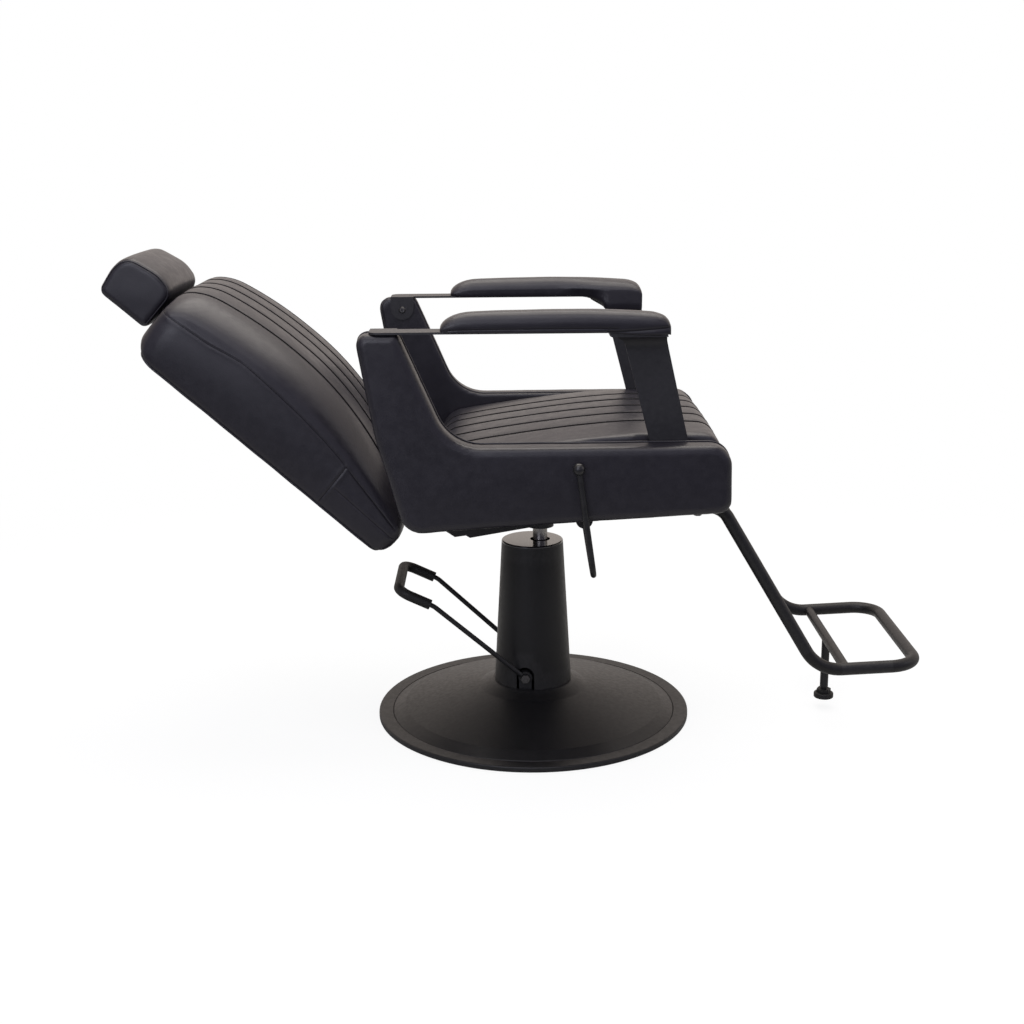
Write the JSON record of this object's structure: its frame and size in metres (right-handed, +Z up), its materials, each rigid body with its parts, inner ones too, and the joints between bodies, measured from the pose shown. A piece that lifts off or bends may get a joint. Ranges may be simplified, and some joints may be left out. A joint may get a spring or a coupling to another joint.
{
  "type": "hydraulic barber chair",
  "caption": "Reclining barber chair on a round hydraulic base, with channelled cushions, padded arms, a sliding headrest, a bent-tube footrest, a pump pedal and a recline lever.",
  "frame": {"origin": "on the floor at the centre of the round base", "axes": "+X towards the chair's front, +Y towards the sitter's left, +Z up"},
  "size_m": [1.5838, 0.6685, 0.9649],
  "materials": {
    "black_metal": "satin",
    "gloss_cap": "gloss",
    "plate_steel": "satin",
    "bright_steel": "polished",
    "bolt_steel": "satin",
    "casting": "matte",
    "vinyl": "satin",
    "vinyl_backing": "matte",
    "rubber": "matte",
    "knob_plastic": "gloss",
    "plywood": "matte"
  },
  "bodies": {
    "base": {"base_plate": "plate_steel", "base_cover": "black_metal", "base_bolts": "bolt_steel", "pump_foot": "casting", "pump_reservoir": "plate_steel", "pump_cylinder": "bright_steel", "pump_head": "casting", "wiper_seal": "rubber", "pump_cover": "black_metal", "cover_cap": "gloss_cap"},
    "plunger": {"pump_plunger": "bright_steel"},
    "pedal": {"pump_rocker": "plate_steel", "pedal_pivots": "bolt_steel", "pedal_rod": "black_metal", "pedal_grip": "rubber"},
    "piston": {"piston_rod": "bright_steel", "piston_head": "plate_steel", "swivel_bearing": "bright_steel"},
    "seat": {"swivel_hub": "black_metal", "hub_bolts": "bolt_steel", "mechanism_plates": "black_metal", "seat_rails": "black_metal", "seat_crossbars": "black_metal", "seat_board": "plywood", "seat_cushion": "vinyl", "side_panel_left": "vinyl", "side_panel_right": "vinyl", "panel_bolts": "bolt_steel", "arm_bar_left": "black_metal", "arm_bar_right": "black_metal", "arm_screws": "bolt_steel", "stanchion_left": "black_metal", "stanchion_right": "black_metal", "stanchion_bolts": "bolt_steel", "arm_pad_left": "vinyl", "arm_pad_right": "vinyl", "footrest_frame": "black_metal", "footrest_bolts": "bolt_steel", "foot_post": "black_metal", "hinge_brackets": "black_metal", "hinge_bolts": "bolt_steel", "gas_rod": "bright_steel", "gas_pin": "bolt_steel", "lever_bracket": "black_metal"},
    "back": {"hinge_arms": "black_metal", "recline_crank": "black_metal", "back_board": "plywood", "back_cushion": "vinyl", "back_cover": "vinyl_backing", "back_bolts": "bolt_steel", "headrest_socket": "black_metal"},
    "headrest": {"headrest_post": "bright_steel", "headrest_board": "plywood", "headrest_pad": "vinyl"},
    "glide": {"foot_glide": "rubber"},
    "gas_tube": {"gas_cylinder": "black_metal"},
    "release": {"release_pin": "bright_steel"},
    "lever": {"lever_shaft": "bolt_steel", "lever_rod": "black_metal", "lever_knob": "knob_plastic"}
  },
  "joints": [
    {"name": "pump_lift", "type": "slide", "parent": "base", "child": "piston", "axis": [0, 0, 1], "range_m": [-0.02, 0.14]},
    {"name": "seat_swivel", "type": "hinge", "parent": "piston", "child": "seat", "pos_m": [0.016, 0, 0.438], "axis": [0, 0, 1], "continuous": true},
    {"name": "back_recline", "type": "hinge", "parent": "seat", "child": "back", "pos_m": [-0.215, 0, 0.49], "axis": [0, 1, 0], "range_deg": [0, 37]},
    {"name": "headrest_slide", "type": "slide", "parent": "back", "child": "headrest", "axis": [-0.749, 0, 0.6626], "range_m": [0, 0.09]},
    {"name": "pump_pedal", "type": "hinge", "parent": "base", "child": "pedal", "pos_m": [-0.017, 0, 0.099], "axis": [0, -1, 0], "range_deg": [0, 27], "stiffness_Nm_per_rad": 4, "springref_deg": -45.84},
    {"name": "plunger_stroke", "type": "slide", "parent": "base", "child": "plunger", "axis": [0, 0, -1], "range_m": [0, 0.0181]},
    {"name": "gas_spring_stroke", "type": "slide", "parent": "seat", "child": "gas_tube", "axis": [-1, 0, 0], "range_m": [0, 0.0254]},
    {"name": "recline_lever", "type": "hinge", "parent": "seat", "child": "lever", "pos_m": [0.093, 0, 0.482], "axis": [0, 1, 0], "range_deg": [0, 18], "stiffness_Nm_per_rad": 2, "springref_deg": -28.65},
    {"name": "release_stroke", "type": "slide", "parent": "seat", "child": "release", "axis": [-1, 0, 0], "range_m": [0, 0.0066]},
    {"name": "glide_screw", "type": "slide", "parent": "seat", "child": "glide", "axis": [0, 0, -1], "range_m": [0, 0.012]}
  ],
  "couplings": [
    {"joint": "plunger_stroke", "follows": "pump_pedal", "m_per_rad": 0.0382},
    {"joint": "gas_spring_stroke", "follows": "back_recline", "m_per_rad": 0.0393},
    {"joint": "release_stroke", "follows": "recline_lever", "m_per_rad": 0.0205}
  ]
}
